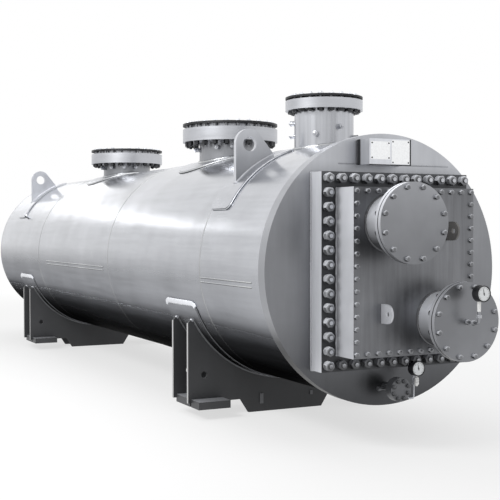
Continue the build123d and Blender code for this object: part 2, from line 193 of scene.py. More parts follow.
def steel(
    name, tone, rough, grain, mottle=0.1, depth=0.25, metal=1.0,
    streak=0.9, shade=None, side=None, rise=None, span=None, rim=None, right=None, wave=0.0,
):
    """Satin steel. grain stretches the fine brushing, streak is how dark it gets, depth how strong
    its relief is, and mottle how far the broad clouds vary. metal is how metallic the steel is.
    shade is a ramp of painted shade and light over the normal's height, which also dims the
    grazing shine on what looks down. side is (tone, metal, shade) of what doesn't look along the
    vessel: a painted lighter or darker tone for sides as light falls on them. rise is a ramp of
    painted light and shade over the height above the ground and span one of painted shade over
    the distance from the middle. rim is (half width, tone) of a painted highlight on plate edges
    that lie further out, right is the colour of what lies to the right, painted shade, and wave
    is how high the slow waves are."""
    material, tree, shader, point = new_material(name)
    colour = tuple(tone * part for part in STEEL_TINT)
    low = tuple(part * (1 - mottle) for part in colour)
    high = tuple(min(1, part * (1 + mottle)) for part in colour)
    base = ramp(tree, noise(tree, point, UNSTRETCHED, CLOUD_SCALE, 4, 0.6), [(0.3, low), (0.7, high)])
    brushed = noise(tree, point, grain, 1.0, 3, 0.65)
    normal = tree_node(tree, "ShaderNodeNewGeometry").outputs["Normal"]
    if rise:
        height = spread(tree, part_of(tree, point, "Z"), 0, 1, 0, TALLEST)
        base = multiply(tree, base, ramp(tree, height, [(z / TALLEST, share) for z, share in rise]))
    if span:
        out = size_of(tree, part_of(tree, point, "X"))
        base = multiply(tree, base, ramp(tree, out, span))
    if right:
        turned = spread(tree, part_of(tree, point, "X"), 0, 1, -0.01, 0.01)
        base = mix_colour(tree, turned, base, (*right, 1))
    if side:
        side_tone, side_metal, side_shade = side
        turned = spread(tree, size_of(tree, part_of(tree, normal, "Y")), 1, 0, SIDE_LIMIT, 1.0)
        other = tuple(side_tone * part for part in STEEL_TINT) + (1,)
        other = multiply(tree, other, ramp(tree, tilt_of(tree, normal), side_shade))
        base = mix_colour(tree, turned, base, other)
        tree.links.new(spread(tree, turned, metal, side_metal), shader.inputs["Metallic"])
    else:
        shader.inputs["Metallic"].default_value = metal
    if rim:
        half_width, rim_tone = rim
        out = size_of(tree, part_of(tree, point, "X"))
        edge = spread(tree, out, 0, 1, half_width - 2 * RIM_FADE, half_width - RIM_FADE)
        base = mix_colour(tree, edge, base, (rim_tone, rim_tone, rim_tone, 1))
    base = multiply(tree, base, ramp(tree, brushed, [(0.3, streak), (0.7, 1.0)]))
    gloss = spread(tree, brushed, rough - 0.06, rough + 0.08)
    # Painted shade and light by the normal's height, with the grazing shine dimmed on what looks down
    if shade:
        tilt = tilt_of(tree, normal)
        base = multiply(tree, base, ramp(tree, tilt, shade))
        blur = ramp(tree, tilt, BLUR_SHADE)
        gloss = tree_node(tree, "ShaderNodeMath", {0: gloss, 1: blur}, operation="ADD").outputs[0]
        tree.links.new(ramp(tree, tilt, GRAZING_SHADE), shader.inputs["Specular Tint"])
    tree.links.new(base, shader.inputs["Base Color"])
    tree.links.new(gloss, shader.inputs["Roughness"])
    bump = tree_node(tree, "ShaderNodeBump", {"Height": brushed, "Strength": depth, "Distance": GRAIN_RELIEF})
    if wave:
        broad = noise(tree, point, (1.3, 0.8, 1.3), 1.0, 2, 0.5)
        bump = tree_node(
            tree,
            "ShaderNodeBump",
            {"Height": broad, "Strength": 1.0, "Distance": wave, "Normal": bump.outputs["Normal"]},
        )
    tree.links.new(bump.outputs["Normal"], shader.inputs["Normal"])
    return material


def painted(name, colour, rough, metallic=0.0):
    """Paint, enamel or plastic with a faint speckle."""
    material, tree, shader, point = new_material(name)
    speckle = noise(tree, point, UNSTRETCHED, scale=90)
    low = tuple(part * 0.9 for part in colour)
    base = ramp(tree, speckle, [(0.3, low), (0.7, colour)])
    tree.links.new(base, shader.inputs["Base Color"])
    tree.links.new(spread(tree, speckle, rough - 0.05, rough + 0.05), shader.inputs["Roughness"])
    shader.inputs["Metallic"].default_value = metallic
    return material


# Finishes. The polished shell's underside gets painted shade, darker than its top, by (normal's height,
# share)
SHELL_SHADE = [
    (0.1, 0.012), (0.2, 0.06), (0.25, 0.16), (0.3, 0.44), (0.35, 0.58), (0.4, 0.57), (0.5, 0.6),
    (0.58, 0.66), (1.0, 0.76),
]
# Painted shade and light on the end plate's face: darker low down and lighter towards the top
PLATE_PAINTED_LIGHT = [(0.3, 0.32), (0.6, 0.6), (0.9, 0.95), (1.4, 1.1), (1.85, 1.4), (2.0, 2.3), (2.2, 2.4)]
# Painted light on the upper blind, which is lighter than the lower one
BLIND_PAINTED_LIGHT = [(0.6, 0.95), (1.4, 0.9), (1.85, 1.5)]
EVEN = [(0.0, 1.0), (1.0, 1.0)]
# Painted shade and light on the blinds' rims: darker where they look down, lighter where they look up
RIM_SHADE = [(0.1, 0.3), (0.5, 0.8), (0.8, 1.1)]
# Painted light on the saddles' upward faces, such as the feet's tops, and a little painted shade lower
SADDLE_PAINTED_LIGHT = [(0.4, 0.9), (0.9, 1.0), (1.0, 6.0)]
# Painted shade on the saddles towards the middle, under the vessel
SADDLE_PAINTED_SHADE = [(0.3, 0.62), (0.8, 1.0)]
# Painted light on the top of the bundle frame
FRAME_PAINTED_LIGHT = [(1.8, 1.0), (1.9, 1.6)]
# Painted shade and light on the sides of nuts and heads: dark below, light above
BOLT_SHADE = [(0.25, 0.06), (0.5, 0.6), (0.75, 1.25)]
# Painted shade on the bolt faces and studs of the frame's lowest row
BOLT_LOW_PAINTED_SHADE = [(0.595, 0.3), (0.63, 1.0)]
# Painted shade and light on the nozzle necks: dark below, lighter above
NECK_SHADE = [(0.15, 0.12), (0.35, 0.45), (0.5, 0.8), (0.68, 1.3)]
# Painted light on the tops of the front lugs, darker lower down
LUG_PAINTED_LIGHT = [(1.9, 0.75), (2.3, 1.45)]
# A finish's side tone is painted light or shade: its sides are lighter or darker than its faces as light
# falls on them
shell_steel = steel(
    "shell_steel", 0.88, 0.19, (22, 1.1, 22), mottle=0.09, depth=0.35, shade=SHELL_SHADE, wave=0.014
)
pad_steel = steel("pad_steel", 0.88, 0.24, (20, 4, 20), mottle=0.06, shade=SHELL_SHADE)
plate_steel = steel(
    "plate_steel", 0.24, 0.36, (14, 2, 1.2), side=(0.62, 1.0, SHELL_SHADE), rise=PLATE_PAINTED_LIGHT
)
# The frame's face is near black, painted shadow of its nuts
frame_steel = steel(
    "frame_steel", 0.07, 0.42, (20, 20, 3), mottle=0.3, side=(0.6, 0.15, EVEN), rise=FRAME_PAINTED_LIGHT
)
header_steel = steel(
    "header_steel", 0.21, 0.38, (26, 2, 1.5), mottle=0.2, streak=0.75, side=(0.64, 0.15, EVEN)
)
drain_steel = steel("drain_steel", 0.15, 0.36, (15, 9, 15), mottle=0.3, metal=0.7)
blind_steel = steel(
    "blind_steel", 0.26, 0.34, (2, 4, 2), mottle=0.14, side=(0.7, 0.5, RIM_SHADE), rise=BLIND_PAINTED_LIGHT
)
neck_steel = steel("neck_steel", 0.8, 0.3, (4, 9, 4), metal=0.45, mottle=0.2, shade=NECK_SHADE)
# The right pad eye is darker, painted shade
pad_eye_steel = steel(
    "pad_eye_steel", 0.68, 0.3, (9, 9, 9), metal=0.3, mottle=0.2, right=(0.15, 0.145, 0.14)
)
ring_steel = steel("ring_steel", 0.54, 0.34, (2, 2, 30), mottle=0.16, depth=0.5)
front_neck_steel = steel("front_neck_steel", 0.6, 0.28, (13, 13, 0.3), mottle=0.12, streak=0.66)
# The middle and rear necks are darker, painted shade under their rings; the first gauge's pipe shares this
# steel
dark_neck_steel = steel("dark_neck_steel", 0.3, 0.3, (9, 9, 1.2), mottle=0.3)
cover_steel = steel("cover_steel", 0.05, 0.45, (3, 3, 3))
lug_steel = steel("lug_steel", 0.4, 0.32, (8, 8, 2), side=(0.62, 0.6, EVEN), rise=LUG_PAINTED_LIGHT)
# The rear lugs are a lit copy of the lugs' steel, lighter as painted light
rear_lug_lit_steel = steel("rear_lug_lit_steel", 0.85, 0.32, (8, 8, 2), side=(0.7, 0.6, EVEN))
# The saddles' outermost edges get a lighter rim, a painted highlight
saddle_steel = steel(
    "saddle_steel", 0.075, 0.45, (5, 5, 1.5), mottle=0.15, metal=0.3, shade=SADDLE_PAINTED_LIGHT,
    span=SADDLE_PAINTED_SHADE, rim=(web_high.x, 0.55)
)
bolt_steel = steel(
    "bolt_steel", 0.18, 0.25, (60, 60, 60), mottle=0.3, metal=0.6, side=(0.75, 0.35, BOLT_SHADE),
    rise=BOLT_LOW_PAINTED_SHADE,
)
# Darker bolt steel: painted shade on the frame's lowest row of nuts, and plain darker steel on the drain's
# studs
low_bolt_steel = steel(
    "low_bolt_steel", 0.1, 0.28, (60, 60, 60), mottle=0.3, metal=0.6, side=(0.2, 0.4, BOLT_SHADE)
)
stud_steel = steel(
    "stud_steel", 0.65, 0.2, (60, 60, 60), mottle=0.3, metal=0.8, side=(0.05, 0.5, EVEN), rise=BOLT_LOW_PAINTED_SHADE
)
# Nuts on the covers are painted lighter, a lit copy of the bolt steel
lit_bolt_steel = steel("lit_bolt_steel", 0.85, 0.3, (60, 60, 60), mottle=0.2)
# Near-black steel; on the nuts under the top rings and on the bracket's strips it is painted shade
dark_bolt_steel = steel("dark_bolt_steel", 0.06, 0.35, (60, 60, 60))
weld_steel = steel("weld_steel", 0.85, 0.3, (90, 90, 90), mottle=0.25, depth=0.8, shade=SHELL_SHADE)
pad_weld = steel("pad_weld", 0.62, 0.3, (90, 90, 90), mottle=0.35, depth=0.8, metal=0.8)
low_weld = steel("low_weld", 0.3, 0.32, (90, 90, 90), mottle=0.3, depth=0.8, shade=SHELL_SHADE)
plate_weld = steel("plate_weld", 0.42, 0.28, (90, 90, 90), mottle=0.3, depth=0.8)
dark_weld = steel("dark_weld", 0.12, 0.35, (90, 90, 90), mottle=0.3, depth=0.8, metal=0.5)
bright_weld = steel("bright_weld", 0.85, 0.24, (90, 90, 90), mottle=0.15, depth=0.8, metal=0.6)
sheet_steel = steel("sheet_steel", 0.85, 0.3, (30, 30, 3), metal=0.6, side=(0.5, 0.5, EVEN))
black_case = painted("black_case", (0.012, 0.012, 0.014), 0.3)
dial_white = painted("dial_white", (0.82, 0.84, 0.85), 0.5)
dial_black = painted("dial_black", (0.02, 0.02, 0.02), 0.5)
valve_white = painted("valve_white", (0.85, 0.85, 0.84), 0.35)
plate_white = painted("plate_white", (0.95, 0.96, 0.97), 0.4, 0.9)

NODE_FINISH = {
    "end_plate": plate_steel,
    "bundle_frame": frame_steel,
    "header_box": header_steel,
    "header_cover": header_steel,
    "cover_pad_eyes": pad_eye_steel,
    "upper_nozzle_neck": neck_steel,
    "lower_nozzle_neck": neck_steel,
    "upper_nozzle_flange": blind_steel,
    "lower_nozzle_flange": blind_steel,
    "upper_nozzle_blind": blind_steel,
    "lower_nozzle_blind": blind_steel,
    "drain_nozzle": drain_steel,
    "drain_blind": drain_steel,
    "front_nozzle_neck": front_neck_steel,
    "middle_nozzle_neck": dark_neck_steel,
    "rear_nozzle_neck": dark_neck_steel,
    "plate_bracket": sheet_steel,
    "blind_gauge": dark_neck_steel,
    "drain_gauge": neck_steel,
    "front_lifting_lugs": lug_steel,
    "rear_lifting_lugs": rear_lug_lit_steel,
}


def finish_of(name):
    """Material of a node of the frame."""
    if name in NODE_FINISH:
        return NODE_FINISH[name]
    if name.endswith(("lug_pads", "_pad")):
        return pad_steel
    if "saddle" in name:
        return saddle_steel
    if name.endswith("nozzle_cover"):
        return cover_steel
    if name.endswith("nozzle_flange"):
        return ring_steel
    return shell_steel


for name, node in nodes.items():
    node.data.materials.clear()
    node.data.materials.append(finish_of(name))


def new_piece(name, vertices, faces, material, slot, smooth_angle=35):
    """A mesh of the object, made in the part's frame, riding on the vessel."""
    mesh = bpy.data.meshes.new(name)
    mesh.from_pydata([tuple(point) for point in vertices], [], faces)
    mesh.materials.append(material)
    work = bmesh.new()
    work.from_mesh(mesh)
    bmesh.ops.recalc_face_normals(work, faces=work.faces)
    limit = math.radians(smooth_angle)
    for face in work.faces:
        face.smooth = True
    for side in work.edges:
        side.smooth = len(side.link_faces) == 2 and side.calc_face_angle(0) < limit
    work.to_mesh(mesh)
    work.free()
    piece = bpy.data.objects.new(name, mesh)
    bpy.context.scene.collection.objects.link(piece)
    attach(piece, "root")


def lathe(profile, count):
    """Turned shape about Z from (radius, height) points; radius 0 closes an end. A corner that two
    steps share is kept once in a face."""
    vertices, rings, faces = [], [], []
    for radius, height in profile:
        if radius == 0:
            rings.append([len(vertices)] * count)
            vertices.append(Vector((0, 0, height)))
            continue
        rings.append(list(range(len(vertices), len(vertices) + count)))
        for step in range(count):
            angle = math.tau * step / count
            vertices.append(Vector((radius * math.cos(angle), radius * math.sin(angle), height)))
    for below, above in zip(rings, rings[1:]):
        for step in range(count):
            after = (step + 1) % count
            loop = [below[step], below[after], above[after], above[step]]
            faces.append([corner for number, corner in enumerate(loop) if corner not in loop[:number]])
    return vertices, faces


def bar(radius, height, count):
    """Plain round bar or washer from height 0 up."""
    return lathe([(0, 0), (radius, 0), (radius, height), (0, height)], count)


def hex_radius(across, angle):
    """Distance from the middle to a hexagon's side, in this direction."""
    sector = math.pi / 3
    return across / 2 / math.cos((angle + sector / 2) % sector - sector / 2)


def hex_body(across, height, count=24, chamfer=0.96, both=False):
    """Hexagon nut or head from height 0 up, with its corners turned down to a cone."""
    vertices, faces = [], []
    rim = across / 2 * chamfer
    drop = math.tan(math.radians(30))
    rows = []
    angles = [math.tau * step / count for step in range(count)]
    radii = [hex_radius(across, angle) for angle in angles]
    if both:
        rows.append([(rim, 0.0)] * count)
        rows.append([(radius, (radius - rim) * drop) for radius in radii])
    else:
        rows.append([(radius, 0.0) for radius in radii])
    rows.append([(radius, height - (radius - rim) * drop) for radius in radii])
    rows.append([(rim, height)] * count)
    for row in rows:
        for angle, (radius, level) in zip(angles, row):
            vertices.append(Vector((radius * math.cos(angle), radius * math.sin(angle), level)))
    for row in range(len(rows) - 1):
        for step in range(count):
            after = (step + 1) % count
            base = row * count
            faces.append([base + step, base + after, base + count + after, base + count + step])
    top = len(vertices)
    vertices.append(Vector((0, 0, height)))
    start = (len(rows) - 1) * count
    faces += [[start + step, start + (step + 1) % count, top] for step in range(count)]
    return vertices, faces


def threaded_end(radius, low, high, pitch, count=16):
    """Stud end with its thread ridges and a chamfered tip."""
    profile = [(radius, low)]
    level = low
    while level + pitch < high - radius * 0.15:
        profile += [(radius * 0.92, level + pitch / 2), (radius, level + pitch)]
        level += pitch
    profile += [(radius * 0.82, high), (0, high)]
    return lathe(profile, count)


def block(low, high):
    """Plain small plate or bar between two corners."""
    vertices = [
        Vector((x, y, z)) for x in (low[0], high[0]) for y in (low[1], high[1]) for z in (low[2], high[2])
    ]
    faces = [[0, 1, 3, 2], [4, 6, 7, 5], [0, 4, 5, 1], [2, 3, 7, 6], [0, 2, 6, 4], [1, 5, 7, 3]]
    return vertices, faces


def joined(*shapes):
    """Shapes as one mesh."""
    vertices, faces = [], []
    for more_vertices, more_faces in shapes:
        start = len(vertices)
        vertices += more_vertices
        faces += [[start + corner for corner in face] for face in more_faces]
    return vertices, faces


def lifted(shape, height):
    """Shape moved up by height."""
    vertices, faces = shape
    return [point + Vector((0, 0, height)) for point in vertices], faces


def stamped(shape, places):
    """Copies of a shape, one for each matrix, as one mesh."""
    vertices, faces = shape
    return joined(*[([place @ point for point in vertices], faces) for place in places])


# How far a bead's ripple turns from one point to the next, in radians
RIPPLE_TURN = 2.4


def tube(points, radius, count=8, closed=False, flat=1.0, normals=None, ripple=0.0):
    """Bead or pipe along points. flat under 1 lowers it along the given normals, and ripple is
    how much its size varies along it, as in a weld."""
    points = [Vector(point) for point in points]
    total = len(points)
    vertices, faces = [], []
    side = None
    for index, point in enumerate(points):
        before = points[index - 1] if closed or index else point
        after = points[(index + 1) % total] if closed or index < total - 1 else point
        along = (after - before).normalized()
        if normals:
            rise = (normals[index] - along * normals[index].dot(along)).normalized()
        else:
            if side is None:
                side = along.orthogonal().normalized()
            rise = (side - along * side.dot(along)).normalized()
            side = rise
        across = along.cross(rise)
        here = radius * (1 + ripple * math.sin(index * RIPPLE_TURN))
        for step in range(count):
            angle = math.tau * step / count
            vertices.append(point + across * here * math.cos(angle) + rise * here * flat * math.sin(angle))
    for index in range(total if closed else total - 1):
        here, there = index * count, (index + 1) % total * count
        for step in range(count):
            after = (step + 1) % count
            faces.append([here + step, here + after, there + after, there + step])
    if not closed:
        faces.append(list(range(count))[::-1])
        faces.append(list(range((total - 1) * count, total * count)))
    return vertices, faces


def place(x, y, z, turn=UP, spin=0.0):
    """Where a fastener stands: its foot, the way it looks and its turn about itself."""
    return Matrix.Translation((x, y, z)) @ turn @ Matrix.Rotation(spin, 4, "Z")


def spins(index):
    """Turn of a nut or head, different from one to the next but the same each run."""
    return (index * 0.618034 % 1) * math.pi / 3


def stud_nut(across, height, stud, reach, pitch, both=False):
    """Nut from height 0 up, and the end of its stud, which stands out to reach."""
    end = threaded_end(stud, height - stud_overlap, reach, pitch)
    return joined(hex_body(across, height, both=both), end)


def small_head(height, chamfer):
    """Hexagon head on a thin washer."""
    washer = bar(small_washer_radius, small_washer_height, 20)
    return joined(washer, lifted(hex_body(small_head_across, height, chamfer=chamfer), small_washer_height))


def rectangle_places(half_x, half_z, y):
    """Places round a rectangle across the vessel, corners once, row by row from the top."""
    found = []
    for row in range(border_rows):
        z = half_z - 2 * half_z * row / (border_rows - 1)
        if row in (0, border_rows - 1):
            steps = [2 * column / (border_columns - 1) - 1 for column in range(border_columns)]
            found += [(half_x * step, z) for step in steps]
        else:
            found += [(-half_x, z), (half_x, z)]
    return [place(x, y, axis_z + z, FRONT, spins(index)) for index, (x, z) in enumerate(found)]


def centre_of(name):
    """Middle of a flange's face, from its mount."""
    return Vector(mounts[name]["pos_m"])


def bolt_offsets(name, shift=0.0):
    """How far each bolt of a flange stands off the flange's middle, in metres. The mount gives the
    bolt circle's diameter in millimetres."""
    dims = mounts[name]["dims"]
    radius = dims["pcd_mm"] / 2000
    angles = [math.tau * (index + shift) / dims["count"] for index in range(dims["count"])]
    return [(radius * math.cos(angle), radius * math.sin(angle)) for angle in angles]


# Frame: studs with nuts on washers, 14 in a column and 12 in a row
# stud_overlap is how far a stud's end starts inside its nut
border_rows = 14
border_columns = 12
frame_stud_half_x = 0.560
frame_stud_half_z = 0.634
nut_across = 0.062
nut_height = 0.042
washer_radius = 0.034
washer_height = 0.005
washer_bevel = 0.001
stud_radius = 0.0175
stud_length = 0.053
stud_pitch = 0.004
stud_overlap = 0.001
frame_washer = lathe(
    [
        (0, 0), (washer_radius, 0), (washer_radius, washer_height - washer_bevel),
        (washer_radius - washer_bevel, washer_height), (0, washer_height),
    ],
    24,
)
frame_nut = joined(
    frame_washer, lifted(hex_body(nut_across, nut_height - washer_height, chamfer=0.84), washer_height)
)
frame_stud = threaded_end(stud_radius, nut_height - stud_overlap, stud_length, stud_pitch)
frame_places = rectangle_places(frame_stud_half_x, frame_stud_half_z, frame_low.y)
# The lowest row lies in the header's shade, apart from its first nut, so it gets darker steel as painted
# shade
shaded_places = frame_places[1 - border_columns:]
open_places = frame_places[:1 - border_columns]
new_piece("frame_nuts", *stamped(frame_nut, open_places), bolt_steel, "flange_steel")
new_piece("frame_lowest_nuts", *stamped(frame_nut, shaded_places), low_bolt_steel, "flange_steel")
new_piece("frame_studs", *stamped(frame_stud, frame_places), stud_steel, "flange_steel")

# Cover: as many small hexagon screws round its edge
screw_half_x = 0.470
screw_half_z = 0.542
screw_height = 0.014
small_head_across = 0.031
small_washer_radius = 0.0185
small_washer_height = 0.003
screw = small_head(screw_height, 0.88)
screw_places = rectangle_places(screw_half_x, screw_half_z, header_low.y)
new_piece("cover_screws", *stamped(screw, screw_places), bolt_steel, "flange_steel")

# Blinds: a bolt head on the blind and a nut behind the ring at each of the 12 holes
blind_head_height = 0.016
blind_head = small_head(blind_head_height, 0.84)
back_nut = stud_nut(across=0.041, height=0.024, stud=0.0125, reach=0.034, pitch=0.003)
for name in ("upper_nozzle", "lower_nozzle"):
    centre = centre_of(name)
    ring_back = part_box(f"{name}_flange")[1].y
    heads, nuts = [], []
    for index, (across, rise) in enumerate(bolt_offsets(name, 0.5)):
        heads.append(place(centre.x + across, centre.y, centre.z + rise, FRONT, spins(index)))
        nuts.append(place(centre.x + across, ring_back, centre.z + rise, BACK, spins(index + 3)))
    new_piece(f"{name}_bolt_heads", *stamped(blind_head, heads), bolt_steel, "flange_steel")
    new_piece(f"{name}_bolt_nuts", *stamped(back_nut, nuts), dark_bolt_steel, "flange_steel")

# Drain: eight stud bolts with a nut on each face
drain_centre = centre_of("drain")
drain_nut = stud_nut(across=0.027, height=0.016, stud=0.008, reach=0.024, pitch=0.0025)
drain_blind_low, drain_blind_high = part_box("drain_blind")
drain_thick = drain_blind_high.y - drain_blind_low.y
drain_back = drain_centre.y + 2 * drain_thick
drain_places = []
for index, (across, rise) in enumerate(bolt_offsets("drain", 0.5)):
    x = drain_centre.x + across
    z = drain_centre.z + rise
    drain_places.append(place(x, drain_centre.y, z, FRONT, spins(index)))
    drain_places.append(place(x, drain_back, z, BACK, spins(index)))
new_piece("drain_studs", *stamped(drain_nut, drain_places), low_bolt_steel, "flange_steel")

# Top nozzles: studs through ring and cover, nuts under the ring and low nuts on the cover.
# neck is the neck's radius, nut the height of a nut under the ring and reach how far down its stud comes
TOP_NOZZLES = {
    "front_nozzle": {"neck": 0.232, "nut": 0.018, "reach": 0.021},
    "middle_nozzle": {"neck": 0.288, "nut": 0.036, "reach": 0.046},
    "rear_nozzle": {"neck": 0.276, "nut": 0.028, "reach": 0.036},
}
top_stud_radius = 0.0135
top_stud_pitch = 0.0035
over_nut = stud_nut(across=0.041, height=0.013, stud=top_stud_radius, reach=0.021, pitch=top_stud_pitch)
for name, sizes in TOP_NOZZLES.items():
    centre = centre_of(name)
    ring_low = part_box(f"{name}_flange")[0].z
    cover_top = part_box(f"{name}_cover")[1].z
    shank = bar(top_stud_radius, cover_top - ring_low, 16)
    under_nut = stud_nut(0.046, sizes["nut"], top_stud_radius, sizes["reach"], top_stud_pitch, both=True)
    unders, overs, shanks = [], [], []
    for index, (across, along) in enumerate(bolt_offsets(name)):
        x = centre.x + across
        y = centre.y + along
        unders.append(place(x, y, ring_low, DOWN, spins(index)))
        overs.append(place(x, y, cover_top, UP, spins(index + 5)))
        shanks.append(place(x, y, ring_low))
    # Nuts under the rings are near black as painted shade, and nuts on the covers painted lighter
    new_piece(f"{name}_under_nuts", *stamped(under_nut, unders), dark_bolt_steel, "flange_steel")
    new_piece(f"{name}_cover_nuts", *stamped(over_nut, overs), lit_bolt_steel, "flange_steel")
    new_piece(f"{name}_shanks", *stamped(shank, shanks), bolt_steel, "flange_steel")

# Couplings on the nozzle necks: a collar and a hexagon plug in the end of each.
# (direction from +X in degrees, height above the shell in metres)
COUPLINGS = {
    "front_nozzle": [(270, 0.138), (225, 0.081), (135, 0.088), (135, 0.188), (315, 0.063)],
    "middle_nozzle": [(248, 0.111), (222, 0.103), (160, 0.093), (315, 0.103)],
    "rear_nozzle": [(270, 0.083), (245, 0.083), (215, 0.083), (180, 0.078)],
}
coupling_reach = 0.042
collar_radius = 0.021
collar_depth = 0.006
collar_mouth = 0.013
collar_crown = 0.002
plug_across = 0.02
plug_height = 0.009
collar = lathe(
    [
        (0, -collar_depth), (collar_radius, -collar_depth), (collar_radius, 0),
        (collar_mouth, collar_crown), (0, collar_crown),
    ],
    24,
)
plug = joined(collar, lifted(hex_body(plug_across, plug_height, chamfer=0.9), collar_crown))
plug_places = []
for name, rows in COUPLINGS.items():
    centre = centre_of(name)
    reach = TOP_NOZZLES[name]["neck"] + coupling_reach
    for direction, rise in rows:
        angle = math.radians(direction)
        turn = Matrix.Rotation(angle, 4, "Z") @ Matrix.Rotation(math.radians(90), 4, "Y")
        x = centre.x + reach * math.cos(angle)
        y = centre.y + reach * math.sin(angle)
        plug_places.append(place(x, y, axis_z + shell_radius + rise, turn, spins(direction)))
new_piece("coupling_plugs", *stamped(plug, plug_places), ring_steel, "shell_steel")

# Cap on the small boss at the rear, to the left of the top
boss_low, boss_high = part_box("shell_boss")
boss_angle = math.radians(61.3)
boss_stand = 0.028
boss_reach = shell_radius + boss_stand
cap_across = 0.044
cap_height = 0.02
cap_sink = 0.012
boss_cap = joined(
    lifted(hex_body(cap_across, cap_height, both=True), -cap_sink),
    lathe([(0, 0), (0.012, 0), (0.010, 0.016), (0, 0.016)], 20),
)
boss_place = place(
    -boss_reach * math.sin(boss_angle),
    (boss_low.y + boss_high.y) / 2,
    axis_z + boss_reach * math.cos(boss_angle),
    Matrix.Rotation(-boss_angle, 4, "Y"),
)
new_piece("boss_cap", *stamped(boss_cap, [boss_place]), bolt_steel, "shell_steel")

# Welds. A bead follows points, each with the way that it looks. Its radius is half its width, and
# flat is its height as a share of that
weld_spacing = 0.022
BEAD_RADIUS = {
    "girth": 0.011,
    "rear_head": 0.005,
    "end_plate": 0.012,
    "lengthwise": 0.0055,
    "neck_on_pad": 0.015,
    "neck_on_shell": 0.014,
    "nozzle_pad": 0.008,
    "lug_pad": 0.007,
    "lug_foot": 0.009,
    "saddle_pad": 0.008,
    "saddle_pad_top": 0.025,
    "saddle_web": 0.012,
    # Bead on a web's shoulder that stands for a painted highlight
    "web_glint": 0.013,
    "bundle_frame": 0.010,
    "header_box": 0.007,
    "plate_seam": 0.005,
    "cover_neck_root": 0.010,
    "cover_neck_ring": 0.008,
}
# How far off the shell the middle of a bead lies
plate_stand = 0.004
nozzle_pad_stand = 0.004
pad_edge_stand = 0.006
pad_top_stand = 0.007
# Corners of plates, as radii
sharp_corner = 0.004
lug_pad_corner = 0.05
saddle_pad_corner = 0.06
corner_steps = 6
# Angle of the vessel's underside, in degrees from upright
underside = 180
TO_FRONT = Vector((0, -1, 0))


def outward(angle):
    """Way that the shell looks, by radians from upright to the left."""
    return Vector((-math.sin(angle), 0, math.cos(angle)))


def ring_points(y, radius, x=0.0, z=axis_z, steps=240):
    """Circle across the vessel."""
    found, ways = [], []
    for step in range(steps):
        angle = math.tau * step / steps
        way = Vector((math.cos(angle), 0, math.sin(angle)))
        found.append(Vector((x, y, z)) + way * radius)
        ways.append(way)
    return found, ways


def nozzle_points(y, neck, carrier, steps=150):
    """Where an upright neck meets a cylinder about the vessel's axis."""
    found, ways = [], []
    for step in range(steps):
        angle = math.tau * step / steps
        x = neck * math.cos(angle)
        found.append(Vector((x, y + neck * math.sin(angle), axis_z + math.sqrt(carrier**2 - x**2))))
        ways.append(Vector((math.cos(angle), math.sin(angle), 1)).normalized())
    return found, ways


def border(half_u, half_v, corner):
    """Closed rectangle with round corners, as evenly spaced (u, v) points."""
    corners = []
    for turn, (side_u, side_v) in enumerate(((1, 1), (-1, 1), (-1, -1), (1, -1))):
        for step in range(corner_steps + 1):
            angle = math.pi / 2 * (turn + step / corner_steps)
            u = side_u * (half_u - corner) + corner * math.cos(angle)
            v = side_v * (half_v - corner) + corner * math.sin(angle)
            corners.append(Vector((u, v)))
    found = []
    for here, there in zip(corners, corners[1:] + corners[:1]):
        parts = max(1, round((there - here).length / weld_spacing))
        found += [here.lerp(there, part / parts) for part in range(parts)]
    return found


def wrapped_points(radius, middle, half_angle, y_low, y_high, corner):
    """Border of a plate rolled to a cylinder; angles in degrees from upright to the left."""
    found, ways = [], []
    half_v = radius * math.radians(half_angle)
    for u, v in border((y_high - y_low) / 2, half_v, corner):
        way = outward(math.radians(middle) + v / radius)
        found.append(Vector((0, (y_low + y_high) / 2 + u, axis_z)) + way * radius)
        ways.append(way)
    return found, ways


def upright_points(half_x, half_z, y):
    """Border of a rectangle that stands across the vessel."""
    found, ways = [], []
    for u, v in border(half_x, half_z, sharp_corner):
        found.append(Vector((u, y, axis_z + v)))
        ways.append(TO_FRONT)
    return found, ways


def bead(name, route, flat=1.0, closed=True, ripple=0.08):
    """Weld bead along a route, which is its points and the ways that they look."""
    points, ways = route
    return tube(points, BEAD_RADIUS[name], closed=closed, flat=flat, normals=ways, ripple=ripple)


girth = []
for name in ("shell_course_front", "shell_course_second", "shell_course_third"):
    girth.append(bead("girth", ring_points(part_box(name)[1].y, shell_radius), flat=0.22))
girth.append(bead("rear_head", ring_points(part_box("rear_head")[0].y, shell_radius), flat=0.2))
girth.append(bead("end_plate", ring_points(plate_high.y, shell_radius + plate_stand)))
new_piece("girth_welds", *joined(*girth), weld_steel, "shell_steel", 60)

# Lengthwise seams of the first and third courses, each a pair of thin beads on the left, by
# degrees from upright and by where they start and end along the vessel
seam_angle = 96.2
seam_half_gap = 1.05
seam_spans = ((-1.245, -0.348), (2.065, 4.217))
seams = []
for start, end in seam_spans:
    for angle in (seam_angle - seam_half_gap, seam_angle + seam_half_gap):
        way = outward(math.radians(angle))
        steps = round((end - start) / weld_spacing)
        points = [
            Vector((0, start + (end - start) * step / steps, axis_z)) + way * shell_radius
            for step in range(steps + 1)
        ]
        seams.append(bead("lengthwise", (points, [way] * len(points)), flat=0.5, closed=False))
new_piece("lengthwise_welds", *joined(*seams), weld_steel, "shell_steel", 60)

